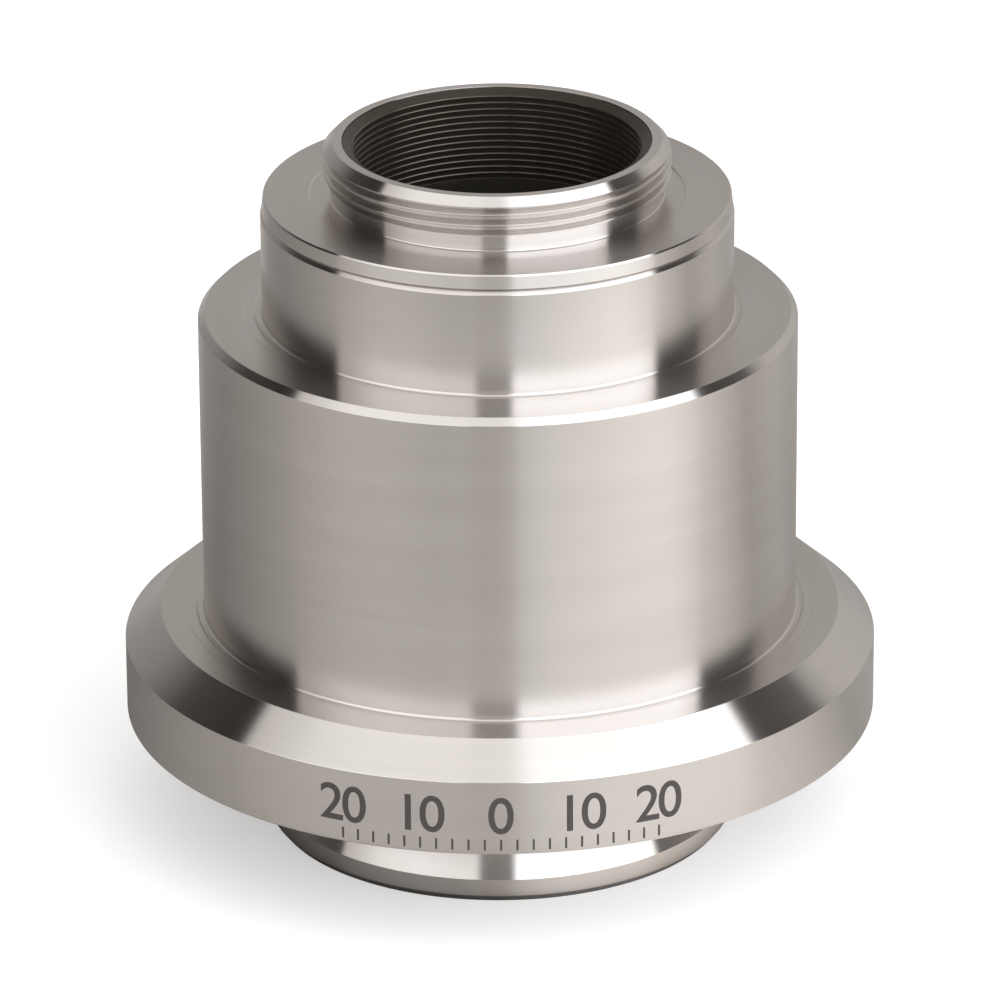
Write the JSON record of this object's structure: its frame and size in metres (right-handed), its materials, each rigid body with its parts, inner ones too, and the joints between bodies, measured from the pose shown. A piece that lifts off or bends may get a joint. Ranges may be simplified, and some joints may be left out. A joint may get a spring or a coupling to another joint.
{
  "type": "microscope camera adapter",
  "caption": "Turned steel camera adapter for a microscope photo port: dovetail foot, flange, relay lens barrel and a threaded camera ring that focuses and turns.",
  "frame": {"origin": "centre of the underside of the dovetail foot", "axes": "+Z along the optical axis, from the foot towards the camera ring; -Y is the front, where the rim carries its scale; the set screws are at the back"},
  "size_m": [0.0558, 0.0558, 0.0531],
  "materials": {
    "turned_steel": "fine lathe-turned satin steel with concentric tool marks",
    "ring_steel": "fine lathe-turned satin steel, brighter on the thread crests",
    "sleeve_steel": "ground bright steel",
    "spring_steel": "thin spring steel, tempered",
    "screw_steel": "black oxide",
    "black_tube": "matt black anodised",
    "black_barrel": "matt black anodised",
    "black_ring": "satin black anodised",
    "crown_glass": "polished and coated glass",
    "flint_glass": "polished and coated glass"
  },
  "bodies": {
    "mount": {"mount_body": "turned_steel", "entry_baffle_tube": "black_tube", "lens_barrel": "black_barrel", "rear_crown_lens": "crown_glass", "rear_flint_lens": "flint_glass", "rear_lens_spacer": "black_ring", "middle_meniscus_lens": "crown_glass", "middle_lens_spacer": "black_ring", "aperture_stop": "black_ring", "front_flint_lens": "flint_glass", "front_crown_lens": "crown_glass", "lens_retaining_ring": "black_ring", "barrel_lock_ring": "black_ring", "focus_set_screw_1": "screw_steel", "focus_set_screw_2": "screw_steel"},
    "focus_slider": {"focus_sleeve": "sleeve_steel"},
    "camera_head": {"camera_ring": "ring_steel", "ring_baffle_tube": "black_tube", "friction_washer": "spring_steel", "sleeve_nut": "black_ring"}
  },
  "joints": [
    {"name": "focus_slide", "type": "slide", "parent": "mount", "child": "focus_slider", "axis": [0, 0, 1], "range_m": [0, 0.002]},
    {"name": "camera_turn", "type": "hinge", "parent": "focus_slider", "child": "camera_head", "pos_m": [0, 0, 0.0482], "axis": [0, 0, 1], "continuous": true}
  ]
}
